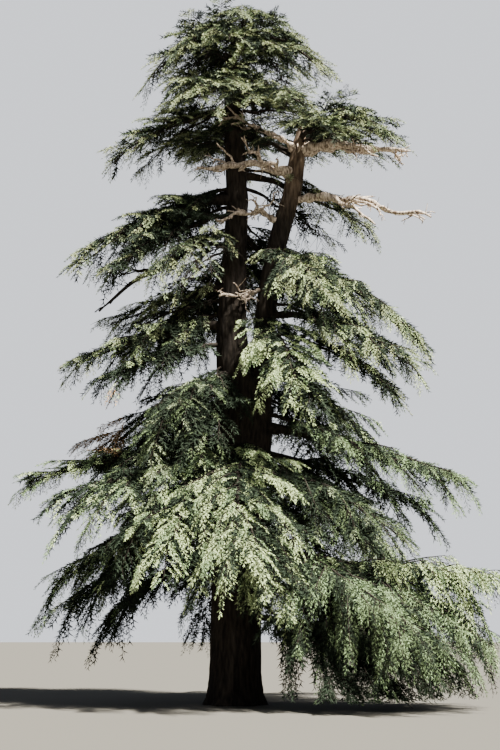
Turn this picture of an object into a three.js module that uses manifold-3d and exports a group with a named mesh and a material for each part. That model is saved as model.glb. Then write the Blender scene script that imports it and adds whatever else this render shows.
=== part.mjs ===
// An old Atlas cedar, about 28 m tall: one trunk that parts into two leaders at about 12 m, boughs in flat
// and drooping plates of needles, and bleached dead limbs high on the right-hand leader.
// +Z is up, and the origin is the middle of the flat cut at ground level. Seen along +Y, +X is to the right.
// Sizes are in metres and turns in degrees; the solids are made in millimetres.
import * as THREE from "three";
import { mergeVertices } from "three/addons/utils/BufferGeometryUtils.js";
import Module from "manifold-3d";

const wasm = await Module();
wasm.setup();

// Driving dimensions
const MM = 1000; // millimetres in a metre
const GAP = 0.00035; // clear space between solids that meet
const SPRAY_GAP = 0.012; // clear space that a spray keeps from the neighbours' solids
const GROUND_GAP = 0.3; // least height of a spray over the ground
const BEND = 0.45; // share of its reach over which a bough still follows its first slope
const PLATE = { foot: 0.12, widest: 0.35, swell: 0.7, taper: 0.55 }; // outline of a mass in plan
const SPRAY_OFFSET = [0.15, 0.6]; // place of each side's sprays, as a share of the distance to the next one
const SPRAY_ANGLE = [66, 34]; // turn of the side sprays from their stem, at its foot and at its tip
const SPRAY_FALL = [0.16, 1]; // fall of every other side spray over its length, as a share of it
const LEAST_WEEP = 0.3; // what is added to a bough's weep for the fall of its side sprays
const SPRAY_HANG = 1.1; // fall of a fully weeping spray's edges, as a share of their distance from its rib
const SPRAY_ROLL = 0.8; // how far a spray's slope across follows its plate's
const SPRAY_FILL = 0.8; // half width of a spray, as a share of the distance to the next one on its side
const SPRAY_THICK = 0.5; // thickness of a spray at its root, as a share of its bough's radius
const SPRAY_SWAY = 6; // range of the seeded change in a side spray's turn and pitch
const SPRAY_SIZES = [1, 0.8, 0.62, 0.45]; // lengths that a spray is tried at until it keeps clear
const BLADE = { foot: 0.1, widest: 0.36, taper: 0.6, rib: 0.9, tooth: 0.8, notch: 0.58 }; // a spray's outline
const STEM_END = 0.9; // share of a bough at which its foliage's stem ends, and the last spray carries on
const TIP_SPRAY = { inset: 0.05, length: 0.18, half: 0.25, thick: 0.04, fall: 0.1, teeth: 2 };
const BOUGH_LOFT = { sides: 6, steps: 3 };
const STEM_LOFT = { sides: 4, steps: 3 };
const DEAD_LOFT = { sides: 5, steps: 4 };
const FORK_LOFT = { sides: 4, steps: 2 };
const FORK_THICK = 0.8; // radius of a dead limb's fork at its root, as a share of the limb's there
const BOUGH_ROOT = [0.08, 0.018]; // radius of a bough at its root: least, and more per metre of its reach
const STOUT = 1.3; // how much thicker at the root a bough is whose bare foot is a limb of its own
const BOUGH_TIP = 0.06; // radius of a bough at its tip
const DEAD_TIP = 0.045; // radius of a dead limb or fork at its tip

// The crown's top: its stem, and the sprays that wind up it, the first value of each pair for the lowest one
const TOP = {
  tip: [0.34, 0, 28.1],
  inset: 0.1,
  radius: [0.1, 0.05],
  sprays: 10,
  places: [0.28, 0.92],
  winding: 137.5,
  sway: 10,
  pitch: [20, 36],
  length: [2.9, 1.16],
  half: [1.044, 0.58],
  thick: 0.06,
  fall: 0.5,
  hang: 0.4,
  teeth: 2,
};
const SEED = 20511;

// The trunk: height, centre in X, half widths along X and Y. It carries the left-hand leader to its tip.
const TRUNK = [
  [0, 0, 1.14, 1.12],
  [0.4, 0, 1.03, 1.01],
  [1.1, 0, 0.99, 0.98],
  [2.4, 0.01, 0.96, 0.95],
  [5, 0.06, 0.96, 0.9],
  [8, 0.2, 1.0, 0.85],
  [10.2, 0.36, 1.08, 0.8],
  [11.6, 0.33, 1.06, 0.74],
  [12.7, -0.04, 0.74, 0.66],
  [14.2, -0.19, 0.61, 0.58],
  [17, -0.09, 0.5, 0.49],
  [19.8, 0.04, 0.45, 0.44],
  [22.1, -0.07, 0.42, 0.41],
  [24, -0.18, 0.34, 0.33],
  [25.8, -0.27, 0.24, 0.23],
  [27.1, 0.12, 0.12, 0.12],
];
const TRUNK_SIDES = 12;
const FLARE = { lobes: 6, depth: 0.1, height: 1.4, phase: 20 };

// The right-hand leader, from inside the trunk to its fork: height, centre in X, half widths along X and Y.
const SECOND = [
  [10.2, 0.72, 0.42, 0.42],
  [11.6, 0.95, 0.47, 0.45],
  [13, 1.08, 0.45, 0.44],
  [14.6, 1.13, 0.43, 0.43],
  [16, 1.28, 0.42, 0.42],
  [17.6, 1.56, 0.4, 0.4],
  [18.9, 1.9, 0.4, 0.39],
  [20.1, 2.26, 0.38, 0.37],
  [21.2, 2.42, 0.36, 0.35],
  [22.3, 2.56, 0.26, 0.26],
  [23.2, 2.74, 0.15, 0.15],
  [23.9, 2.84, 0.06, 0.06],
];
const SECOND_SIDES = 8;

// Live boughs, from the top down: name; the stem it grows on; z, the height of its root; turn, its
// heading, where 0 is +X and 90 is +Y; reach, its length in plan; drop, its tip's height over its root;
// rise, its first slope; half, its foliage's half width; weep, how far its sprays hang, from 0 to 1; lift,
// their rise out of its plate; bare, the share of its length with no foliage; sprays, the side sprays on
// each side; teeth, a spray's teeth on each side; and limb, whether the bare share is a limb of its own.
const BOUGH_KEYS = "name from z turn reach drop rise half weep lift bare sprays teeth limb".split(" ");
const BOUGHS = [
  ["dome_left", "trunk", 26.7, 184, 3.6, -1.6, 42, 2.3, 0.12, 2, 0.14, 3, 2, false],
  ["dome_right", "trunk", 26.6, 356, 3.9, -1.5, 40, 2.1, 0.12, 2, 0.14, 3, 2, false],
  ["dome_front", "trunk", 26.2, 268, 2.8, -0.6, 26, 1.9, 0.1, 4, 0.12, 3, 2, false],
  ["dome_back", "trunk", 26.3, 88, 3.4, -0.9, 34, 2.4, 0.2, 8, 0.12, 3, 2, false],
  ["upper_front", "trunk", 24.4, 250, 3.7, -1.6, 24, 2.6, 0.12, 10, 0.14, 3, 2, false],
  ["upper_right", "trunk", 23.7, 308, 4.4, -1.1, 18, 1.9, 0.1, 10, 0.16, 3, 2, false],
  ["upper_left", "trunk", 23.6, 184, 5.0, -2.3, 12, 1.8, 0.2, 12, 0.14, 4, 2, false],
  ["upper_left_low", "trunk", 22.3, 184, 2.9, -0.2, 6, 1, 0.2, 4, 0.16, 2, 2, false],
  ["upper_back", "trunk", 23.4, 96, 4.2, -0.8, 6, 2.2, 0.2, 14, 0.14, 3, 2, false],
  ["fork_right", "second", 22.8, 352, 3.9, -0.7, 42, 2.0, 0.12, 12, 0.2, 3, 2, false],
  ["fork_left", "second", 21.7, 168, 3.4, 1.6, 34, 1.5, 0.2, 12, 0.36, 3, 2, false],
  ["fork_front", "second", 22.4, 296, 2.7, -0.4, 26, 1.9, 0.1, 12, 0.24, 3, 2, false],
  ["fork_back", "second", 22.1, 62, 3.9, 1.1, 44, 1.8, 0.12, 14, 0.2, 3, 2, false],
  ["high_right", "trunk", 20.9, 22, 6.2, -1.5, 4, 1.6, 0.45, 4, 0.3, 3, 2, false],
  ["high_left_back", "trunk", 20.1, 152, 5.6, -1.2, 6, 1.9, 0.35, 4, 0.14, 3, 2, false],
  ["high_left", "trunk", 19.8, 190, 6.5, -3.0, 3, 2.5, 0.28, 4, 0.2, 4, 2, true],
  ["high_left_front", "trunk", 18.3, 222, 4.3, -2.4, 0, 1.7, 0.45, 4, 0.16, 3, 2, false],
  ["high_back_right", "trunk", 18.6, 62, 5.6, -1.9, 2, 2.2, 0.4, 4, 0.16, 3, 2, false],
  ["high_back", "trunk", 17.2, 112, 6.2, -2.2, 2, 2.4, 0.4, 4, 0.16, 3, 2, false],
  ["middle_front", "second", 17.3, 297, 4.3, -2.6, 4, 1.9, 0.45, 4, 0.16, 3, 2, false],
  ["middle_right", "second", 17.2, 352, 5.9, -3.8, 5, 2.5, 0.35, 4, 0.2, 4, 2, true],
  ["middle_right_low", "second", 14.9, 338, 6.2, -2.6, 8, 2.3, 0.3, 4, 0.24, 3, 2, false],
  ["middle_left_low", "trunk", 16.2, 170, 5.3, -1.4, 0, 1.8, 0.4, 4, 0.18, 3, 2, false],
  ["middle_fan", "second", 14.4, 284, 5.0, -3.4, 2, 2.1, 0.35, 4, 0.14, 4, 2, false],
  ["middle_left", "trunk", 14.5, 188, 6.3, -1.7, 4, 2.5, 0.45, 4, 0.2, 4, 2, true],
  ["middle_back_right", "trunk", 13.3, 36, 7.2, -2.9, 0, 2.6, 0.45, 4, 0.22, 3, 2, false],
  ["middle_left_front", "trunk", 12.5, 230, 5, -2.9, 0, 2, 0.45, 4, 0.24, 3, 2, false],
  ["middle_left_back", "trunk", 12.2, 160, 6.6, -2.7, 0, 2.3, 0.5, 4, 0.2, 3, 2, false],
  ["middle_back", "trunk", 12.6, 98, 7, -2.8, 0, 2.7, 0.45, 4, 0.2, 3, 2, false],
  ["low_right", "trunk", 10.5, 353, 8.4, -2.2, -4, 2.8, 0.45, 4, 0.3, 4, 2, true],
  ["low_left", "trunk", 9.9, 178, 8.6, -1.5, 0, 2.5, 0.3, 4, 0.24, 4, 2, true],
  ["low_left_front", "trunk", 9.5, 212, 7.3, -2.9, 0, 2.6, 0.4, 4, 0.14, 4, 2, false],
  ["low_fan", "trunk", 9.2, 268, 6.7, -4.3, 6, 3.0, 0.45, 4, 0.12, 5, 3, false],
  ["low_fan_left", "trunk", 8.9, 242, 6.6, -4.1, 6, 2.6, 0.45, 4, 0.12, 4, 2, false],
  ["low_right_front", "trunk", 9.0, 327, 7.2, -3.4, -2, 2.0, 0.35, 4, 0.24, 3, 2, false],
  ["low_back_right", "trunk", 9.2, 44, 8.8, -3.7, 0, 2.9, 0.5, 4, 0.24, 4, 2, false],
  ["low_back_left", "trunk", 8.8, 136, 7.9, -3.7, 0, 2.9, 0.5, 4, 0.24, 4, 2, false],
  ["lowest_back", "trunk", 7.8, 90, 8.4, -4.2, 2, 3, 0.6, 4, 0.26, 3, 2, false],
  ["lowest_left", "trunk", 7.5, 172, 7.3, -3.0, 2, 2.6, 0.7, 4, 0.3, 4, 2, true],
  ["lowest_right", "trunk", 5.4, 342, 9.8, -0.8, -6, 3.0, 1.1, 14, 0.34, 4, 2, true],
  ["lowest_right_front", "trunk", 5.8, 316, 9.0, -3.6, 4, 2.9, 0.85, 4, 0.34, 5, 2, false],
  ["lowest_right_middle", "trunk", 5.4, 335, 9.5, -3.1, 8, 3.2, 1.0, 10, 0.24, 4, 2, false],
  ["lowest_front_right", "trunk", 6.9, 288, 5.2, -3.7, 4, 2, 0.5, 4, 0.24, 3, 2, false],
].map((row) => Object.fromEntries(row.map((value, i) => [BOUGH_KEYS[i], value])));

// Bleached dead limbs, with thick the radius at the root. Each fork leaves its limb at the share at, turned
// from it by turn, with its own reach and drop.
const DEAD = [
  {
    name: "fork_long", from: "second", z: 21.95, turn: 349, reach: 4.6, drop: -0.3, rise: 0, thick: 0.3,
    forks: [{ at: 0.26, turn: -20, reach: 2.3, drop: -0.9 }, { at: 0.8, turn: 34, reach: 0.9, drop: -0.2 }],
  },
  {
    name: "right_long", from: "second", z: 19.8, turn: 347, reach: 5.6, drop: -1.2, rise: 4, thick: 0.2,
    forks: [
      { at: 0.16, turn: -16, reach: 2.9, drop: -1.6 },
      { at: 0.4, turn: -24, reach: 2, drop: -1 },
      { at: 0.8, turn: 34, reach: 1, drop: 0 },
    ],
  },
  {
    name: "arching", from: "second", z: 21.9, turn: 197, reach: 3.3, drop: 1.3, rise: 34, thick: 0.16,
    forks: [{ at: 0.55, turn: -25, reach: 1.2, drop: 0.5 }],
  },
  {
    name: "crossing_high", from: "second", z: 20.9, turn: 200, reach: 4.1, drop: -0.2, rise: 12, thick: 0.2,
    forks: [{ at: 0.16, turn: 14, reach: 2.1, drop: 0.9 }, { at: 0.62, turn: -30, reach: 1.1, drop: 0.3 }],
  },
  {
    name: "crossing_low", from: "second", z: 18.8, turn: 202, reach: 2.9, drop: -0.2, rise: 20, thick: 0.15,
    forks: [{ at: 0.4, turn: 48, reach: 1.1, drop: -0.4 }],
  },
  {
    name: "stub", from: "second", z: 15.9, turn: 204, reach: 2.0, drop: -0.6, rise: 10, thick: 0.13,
    forks: [{ at: 0.4, turn: 40, reach: 0.7, drop: -0.5 }],
  },
  {
    name: "left_bare", from: "trunk", z: 17.9, turn: 184, reach: 5.4, drop: -2.8, rise: 2, thick: 0.13,
    forks: [{ at: 0.66, turn: 24, reach: 1.4, drop: -0.3 }],
  },
];

const radians = THREE.MathUtils.degToRad;
const degrees = THREE.MathUtils.radToDeg;
const lerp = THREE.MathUtils.lerp;

// A repeatable stream of numbers from 0 to 1.
function seeded(seed) {
  let state = seed >>> 0;
  return () => {
    state = (Math.imul(state, 1664525) + 1013904223) >>> 0;
    return state / 4294967296;
  };
}

// A closed solid from points in metres and triangles that index them, facing out whichever way they came.
function solid(points, triangles) {
  const make = (faces) =>
    new wasm.Manifold(
      new wasm.Mesh({
        numProp: 3,
        vertProperties: new Float32Array(points.flatMap((p) => [p.x * MM, p.y * MM, p.z * MM])),
        triVerts: new Uint32Array(faces.flat()),
      }),
    );
  const made = make(triangles);
  return made.volume() < 0 ? make(triangles.map(([a, b, c]) => [a, c, b])) : made;
}

// A solid through rings of points, each ring with the same number of points, closed at both ends.
function loft(rings) {
  const sides = rings[0].length;
  const points = rings.flat();
  const triangles = [];
  for (let i = 0; i + 1 < rings.length; i++) {
    for (let k = 0; k < sides; k++) {
      const a = i * sides + k;
      const b = i * sides + ((k + 1) % sides);
      triangles.push([a, b, b + sides], [a, b + sides, a + sides]);
    }
  }
  const last = (rings.length - 1) * sides;
  for (let k = 1; k + 1 < sides; k++) {
    triangles.push([0, k + 1, k], [last, last + k, last + k + 1]);
  }
  return solid(points, triangles);
}

// An upright stem through its stations, grown outwards by grow.
function uprightStem(stations, sides, grow, flared = false) {
  return loft(
    stations.map(([z, x, halfX, halfY], i) =>
      Array.from({ length: sides }, (_, k) => {
        const angle = (k / sides) * 2 * Math.PI;
        const depth = flared ? FLARE.depth * Math.max(0, 1 - z / FLARE.height) ** 2 : 0;
        const lobe = 1 + depth * Math.cos(FLARE.lobes * angle + radians(FLARE.phase));
        return new THREE.Vector3(
          x + (halfX * lobe + grow) * Math.cos(angle),
          (halfY * lobe + grow) * Math.sin(angle),
          z + (i === stations.length - 1 ? grow : 0),
        );
      }),
    ),
  );
}

// The middle of an upright stem at a height.
function stemMiddle(stations, z) {
  const i = Math.max(1, stations.findIndex((s) => s[0] >= z));
  const [low, high] = [stations[i - 1], stations[i]];
  return new THREE.Vector3(lerp(low[1], high[1], (z - low[0]) / (high[0] - low[0])), 0, z);
}

// The centre line of a limb: a parabola in the upright plane of its heading.
function limbCurve(limb) {
  const root = stemMiddle(limb.from === "trunk" ? TRUNK : SECOND, limb.z);
  const heading = new THREE.Vector3(Math.cos(radians(limb.turn)), Math.sin(radians(limb.turn)), 0);
  const bend = root.clone().addScaledVector(heading, BEND * limb.reach);
  bend.z += BEND * limb.reach * Math.tan(radians(limb.rise));
  const tip = root.clone().addScaledVector(heading, limb.reach);
  tip.z += limb.drop;
  return new THREE.QuadraticBezierCurve3(root, bend, tip);
}

// A tapering limb along a curve from one share of its length to another, with sections across the curve.
function taperedLimb(curve, start, end, radiusAt, { sides, steps }, grow = 0) {
  const rings = [];
  for (let i = 0; i <= steps; i++) {
    const t = lerp(start, end, i / steps);
    const along = curve.getTangent(t);
    const across = new THREE.Vector3(0, 0, 1).cross(along).normalize();
    const over = along.clone().cross(across);
    const middle = curve.getPoint(t);
    if (grow && i === 0) middle.addScaledVector(along, -grow);
    if (grow && i === steps) middle.addScaledVector(along, grow);
    rings.push(
      Array.from({ length: sides }, (_, k) => {
        const angle = ((k + 0.5) / sides) * 2 * Math.PI;
        return middle
          .clone()
          .addScaledVector(across, (radiusAt(t) + grow) * Math.cos(angle))
          .addScaledVector(over, (radiusAt(t) + grow) * Math.sin(angle));
      }),
    );
  }
  return loft(rings);
}

// The radius of a live bough at a share of its length.
function boughRadius(bough) {
  const root = (BOUGH_ROOT[0] + BOUGH_ROOT[1] * bough.reach) * (bough.limb ? STOUT : 1);
  return (t) => lerp(root, BOUGH_TIP, t);
}

// The half width of a bough's foliage at a share of the foliage's own length.
function plateHalfWidth(bough, share) {
  const swell = Math.min(1, (share + PLATE.foot) / PLATE.widest) ** PLATE.swell;
  return bough.half * swell * Math.max(0, 1 - share) ** PLATE.taper;
}

// One spray of needles: a blade that is highest along its rib and flat beneath, with teeth that point
// forwards, arching down. Its root is an upright edge. hang is the fall of its edges, as a share of their
// distance from the rib, and roll is the slope across it.
function sprayBlade({ root, turn, pitch, length, half, thick, fall, hang, roll, teeth }) {
  const ahead = new THREE.Vector3(Math.cos(radians(turn)), Math.sin(radians(turn)), 0);
  const aside = new THREE.Vector3(-ahead.y, ahead.x, roll).normalize();
  const place = (t, side, lift) =>
    root
      .clone()
      .addScaledVector(ahead, t * length * Math.cos(radians(pitch)))
      .addScaledVector(aside, side)
      .add(new THREE.Vector3(0, 0, (t * Math.sin(radians(pitch)) - fall * t * t) * length + lift));
  const envelope = (t) => half * Math.min(1, (t + BLADE.foot) / BLADE.widest) * (1 - t) ** BLADE.taper;
  const points = [];
  const add = (p) => points.push(p) - 1;
  const stations = Array.from({ length: teeth + 1 }, (_, j) => (BLADE.rib * j) / teeth);
  const rib = stations.map((t) => add(place(t, 0, (thick / 2) * (1 - 0.5 * t))));
  const foot = add(place(0, 0, -thick / 2));
  const end = add(place(1, 0, 0));
  const edgePoint = (t, side, share) => {
    const out = share * envelope(t);
    return add(place(t, side * out, -hang * out));
  };
  const [left, right] = [1, -1].map((side) => ({
    tooth: stations.slice(1).map((to, j) => edgePoint(lerp(stations[j], to, BLADE.tooth), side, 1)),
    notch: stations.map((t, j) => (j ? edgePoint(t, side, BLADE.notch) : foot)),
  }));
  const triangles = [];
  for (let j = 0; j < teeth; j++) {
    const [a, b] = [left.tooth[j], right.tooth[j]];
    const [leftNotch, rightNotch] = [left.notch[j + 1], right.notch[j + 1]];
    triangles.push([rib[j], a, left.notch[j]], [rib[j], rib[j + 1], a], [rib[j + 1], leftNotch, a]);
    triangles.push([rib[j], right.notch[j], b], [rib[j], b, rib[j + 1]], [rib[j + 1], b, rightNotch]);
    triangles.push([left.notch[j], a, b], [a, leftNotch, b], [leftNotch, rightNotch, b]);
    if (j) triangles.push([left.notch[j], b, right.notch[j]]);
  }
  triangles.push([rib[teeth], end, left.notch[teeth]], [rib[teeth], right.notch[teeth], end]);
  triangles.push([left.notch[teeth], end, right.notch[teeth]]);
  return solid(points, triangles);
}

// Where the side sprays of a bough grow, and how long they are: alternately on both sides of its stem, in the
// bough's plate, which slopes as the bough does. Every other one hangs more.
function sideSpray(bough, curve, i, side, random) {
  const share = (i + (side > 0 ? SPRAY_OFFSET[0] : SPRAY_OFFSET[1])) / (bough.sprays + 0.5);
  const t = lerp(bough.bare, 1, share);
  const angle = lerp(...SPRAY_ANGLE, share) + SPRAY_SWAY * (random() - 0.5);
  const [ahead, aside] = [Math.cos(radians(angle)), Math.sin(radians(angle))];
  const along = curve.getTangent(t);
  const slope = along.z / Math.hypot(along.x, along.y);
  const plate = degrees(Math.atan(slope * ahead));
  return {
    root: curve.getPoint(t),
    turn: bough.turn + side * angle,
    pitch: plate + bough.lift + SPRAY_SWAY * (random() - 0.5),
    length: plateHalfWidth(bough, share) / aside,
    half: (SPRAY_FILL * (1 - bough.bare) * bough.reach * aside) / bough.sprays,
    thick: SPRAY_THICK * boughRadius(bough)(t),
    fall: SPRAY_FALL[i % 2 ^ (side > 0)] * (LEAST_WEEP + bough.weep),
    hang: SPRAY_HANG * bough.weep,
    roll: -side * SPRAY_ROLL * slope * aside,
    teeth: bough.teeth,
  };
}

// The spray that carries a bough on at its tip.
function tipSpray(bough, curve) {
  const along = curve.getTangent((1 + STEM_END) / 2);
  return {
    ...TIP_SPRAY,
    root: curve.getPoint(STEM_END - TIP_SPRAY.inset / bough.reach),
    turn: bough.turn,
    pitch: degrees(Math.atan2(along.z, Math.hypot(along.x, along.y))),
    length: TIP_SPRAY.length * bough.reach,
    half: TIP_SPRAY.half * bough.half,
    hang: SPRAY_HANG * bough.weep,
    roll: 0,
  };
}

function spraysOf(bough, random) {
  const curve = limbCurve(bough);
  const places = Array.from({ length: bough.sprays }, (_, i) => i);
  const sides = places.flatMap((i) => [1, -1].map((side) => sideSpray(bough, curve, i, side, random)));
  return [...sides, tipSpray(bough, curve)];
}

// The sprays of the crown's top: they wind up its stem, the lower ones longer, and arch over.
function topSprays(curve, random) {
  return Array.from({ length: TOP.sprays }, (_, i) => {
    const share = i / (TOP.sprays - 1);
    return {
      ...TOP,
      root: curve.getPoint(lerp(...TOP.places, share)),
      turn: TOP.winding * i + TOP.sway * random(),
      pitch: lerp(...TOP.pitch, share),
      length: lerp(...TOP.length, share),
      half: lerp(...TOP.half, share),
      roll: 0,
    };
  });
}

// The largest body of a solid, with any hollow that joining has sealed filled in.
const whole = (made) => made.decompose().reduce((a, b) => (b.volume() > a.volume() ? b : a));

const boxOf = (made) => {
  const { min, max } = made.boundingBox();
  return new THREE.Box3(new THREE.Vector3(...min), new THREE.Vector3(...max));
};

// Solids that later ones keep clear of: name, the solid, and a copy that is larger by the gap all round.
const placed = [];
function place(owner, made, grown) {
  placed.push({ owner, made, grown, box: boxOf(made).expandByScalar(SPRAY_GAP * MM) });
}
const near = (made, owner) => placed.filter((p) => p.owner !== owner && p.box.intersectsBox(boxOf(made)));
const cutClear = (made, owner) =>
  whole(near(made, owner).reduce((left, p) => (p.grown ? left.subtract(p.grown) : left), made));
const isClear = (made, owner) =>
  made.boundingBox().min[2] > GROUND_GAP * MM &&
  near(made, owner).every((p) => made.minGap(p.made, 2 * SPRAY_GAP * MM) > SPRAY_GAP * MM);

const tree = new THREE.Group();
const colours = {
  bark: new THREE.MeshStandardMaterial({ color: 0x4a4038, roughness: 0.95, metalness: 0 }),
  deadWood: new THREE.MeshStandardMaterial({ color: 0xb09a86, roughness: 0.85, metalness: 0 }),
  needles: new THREE.MeshStandardMaterial({ color: 0x5c7350, roughness: 0.8, metalness: 0 }),
};

// Adds a solid to the tree as a named mesh.
function addNode(name, made, material) {
  const { vertProperties, triVerts } = made.getMesh();
  const geometry = new THREE.BufferGeometry();
  geometry.setAttribute("position", new THREE.BufferAttribute(new Float32Array(vertProperties), 3));
  geometry.setIndex(new THREE.BufferAttribute(new Uint32Array(triVerts), 1));
  const mesh = new THREE.Mesh(mergeVertices(geometry, 1e-4), material);
  mesh.name = name;
  tree.add(mesh);
}

function addStems() {
  const trunk = uprightStem(TRUNK, TRUNK_SIDES, 0, true);
  place("trunk", trunk, uprightStem(TRUNK, TRUNK_SIDES, GAP, true));
  addNode("trunk", trunk, colours.bark);
  const second = cutClear(uprightStem(SECOND, SECOND_SIDES, 0), "second_leader");
  place("second_leader", second, uprightStem(SECOND, SECOND_SIDES, GAP));
  addNode("second_leader", second, colours.bark);
}

function addBoughLimbs() {
  for (const bough of BOUGHS.filter((b) => b.limb)) {
    const name = `bough_${bough.name}`;
    const shape = [limbCurve(bough), 0, bough.bare, boughRadius(bough), BOUGH_LOFT];
    const limb = cutClear(taperedLimb(...shape), name);
    place(name, limb, taperedLimb(...shape, GAP));
    addNode(name, limb, colours.bark);
  }
}

function addDeadLimbs() {
  for (const dead of DEAD) {
    const name = `dead_limb_${dead.name}`;
    const curve = limbCurve(dead);
    const radiusAt = (t) => lerp(dead.thick, DEAD_TIP, t);
    const build = (grow) =>
      dead.forks.reduce((left, { at, turn, reach, drop }) => {
        const branch = limbCurve({ ...dead, turn: dead.turn + turn, reach, drop, rise: 0 });
        const shift = curve.getPoint(at).sub(branch.v0);
        for (const v of [branch.v0, branch.v1, branch.v2]) v.add(shift);
        const forkRadius = (t) => lerp(FORK_THICK * radiusAt(at), DEAD_TIP, t);
        return left.add(taperedLimb(branch, 0, 1, forkRadius, FORK_LOFT, grow));
      }, taperedLimb(curve, 0, 1, radiusAt, DEAD_LOFT, grow));
    const limb = cutClear(build(0), name);
    place(name, limb, build(GAP));
    addNode(name, limb, colours.deadWood);
  }
}

// Each mass of foliage: a stem that carries on from its limb or starts at the tree's stem, and its sprays.
function addFoliage() {
  const random = seeded(SEED);
  const masses = BOUGHS.map((bough) => {
    const owner = `foliage_${bough.name}`;
    const curve = limbCurve(bough);
    const start = bough.limb ? bough.bare + GAP / bough.reach : 0;
    const stem = cutClear(taperedLimb(curve, start, STEM_END, boughRadius(bough), STEM_LOFT), owner);
    return { owner, stem, sprays: spraysOf(bough, random) };
  });
  const topFoot = stemMiddle(TRUNK, TRUNK.at(-1)[0] - TOP.inset);
  const top = new THREE.LineCurve3(topFoot, new THREE.Vector3(...TOP.tip));
  const topRadius = (t) => lerp(...TOP.radius, t);
  const topStem = cutClear(taperedLimb(top, 0, 1, topRadius, { sides: 4, steps: 1 }), "foliage_top");
  masses.unshift({ owner: "foliage_top", stem: topStem, sprays: topSprays(top, random) });

  for (const { owner, stem } of masses) place(owner, stem);
  for (const mass of masses) {
    for (const spray of mass.sprays) {
      for (const share of SPRAY_SIZES) {
        const [length, half] = [share * spray.length, Math.sqrt(share) * spray.half];
        const blade = sprayBlade({ ...spray, length, half });
        if (!isClear(blade, mass.owner)) continue;
        place(mass.owner, blade);
        mass.stem = mass.stem.add(blade);
        break;
      }
    }
    addNode(mass.owner, whole(mass.stem), colours.needles);
  }
}

addStems();
addBoughLimbs();
addDeadLimbs();
addFoliage();

export default tree;
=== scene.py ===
# An old Atlas cedar: bark with real relief, bleached dead limbs, and foliage down to single tufts of needles.
# Metres and degrees, +Z up, origin on the ground under the trunk; seen along +Y, +X is to the right.
from collections import namedtuple

import bpy
import numpy as np
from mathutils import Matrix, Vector, noise


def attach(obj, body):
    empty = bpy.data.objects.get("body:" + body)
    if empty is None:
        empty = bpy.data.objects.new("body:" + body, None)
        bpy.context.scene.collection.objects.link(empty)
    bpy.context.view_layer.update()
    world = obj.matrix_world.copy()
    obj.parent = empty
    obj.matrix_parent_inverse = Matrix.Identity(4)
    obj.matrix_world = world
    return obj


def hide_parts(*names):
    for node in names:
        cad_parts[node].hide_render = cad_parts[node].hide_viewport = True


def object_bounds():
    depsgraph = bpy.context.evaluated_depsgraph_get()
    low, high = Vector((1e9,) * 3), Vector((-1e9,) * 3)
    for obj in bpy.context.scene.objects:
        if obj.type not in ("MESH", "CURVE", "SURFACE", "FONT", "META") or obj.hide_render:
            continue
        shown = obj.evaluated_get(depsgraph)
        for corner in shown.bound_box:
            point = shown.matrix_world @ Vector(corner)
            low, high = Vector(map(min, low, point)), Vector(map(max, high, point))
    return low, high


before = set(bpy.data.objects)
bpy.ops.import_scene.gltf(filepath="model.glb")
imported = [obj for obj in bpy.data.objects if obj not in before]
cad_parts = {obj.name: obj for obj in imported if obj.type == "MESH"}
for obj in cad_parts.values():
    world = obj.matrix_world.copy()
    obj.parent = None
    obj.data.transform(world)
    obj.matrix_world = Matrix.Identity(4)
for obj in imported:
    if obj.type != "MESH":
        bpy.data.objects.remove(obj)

CAD_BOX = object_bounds()

UP = np.array([0, 0, 1.0])
NEAR_UP = np.array([0.02, 0.01, 1.0])  # never quite along a twig
SEED = 20511
GOLDEN_ANGLE = 137.5  # turn round a stem from one arm or tuft to the next

# A plate of foliage in plan widens from its foot and narrows to its tip: the shares of its length that are
# added at its foot and at which it is widest, and the powers that it swells and tapers by
Plate = namedtuple("Plate", "foot widest swell taper")

# The frame's rule for boughs and the arms of foliage on them, with the same sizes
BEND = 0.45  # share of its reach over which a bough still follows its first slope
MASS_PLATE = Plate(foot=0.12, widest=0.35, swell=0.7, taper=0.55)
SPRAY_OFFSET = (0.15, 0.6)  # place of each side's arms, in steps
SPRAY_ANGLE = (66, 34)  # turn of the arms from their bough, at its foot and at its tip
SPRAY_FALL = (0.16, 1)  # fall of every other arm over its length, as a share of it
LEAST_WEEP = 0.3  # what is added to a bough's weep for the fall of its arms
SPRAY_HANG = 1.1  # fall of a fully weeping arm's edges, as a share of their distance from it
SPRAY_ROLL = 0.8  # how far an arm's slope across follows its bough's plate
BOUGH_ROOT = (0.08, 0.018)  # radius of a bough at its root: least, and more for each metre of its reach
STOUT = 1.3  # how much thicker at the root a bough is whose bare foot is a limb of its own
BOUGH_TIP = 0.06  # radius of a bough at its tip
DEAD_TIP = 0.045  # radius of a dead limb at its tip

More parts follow.
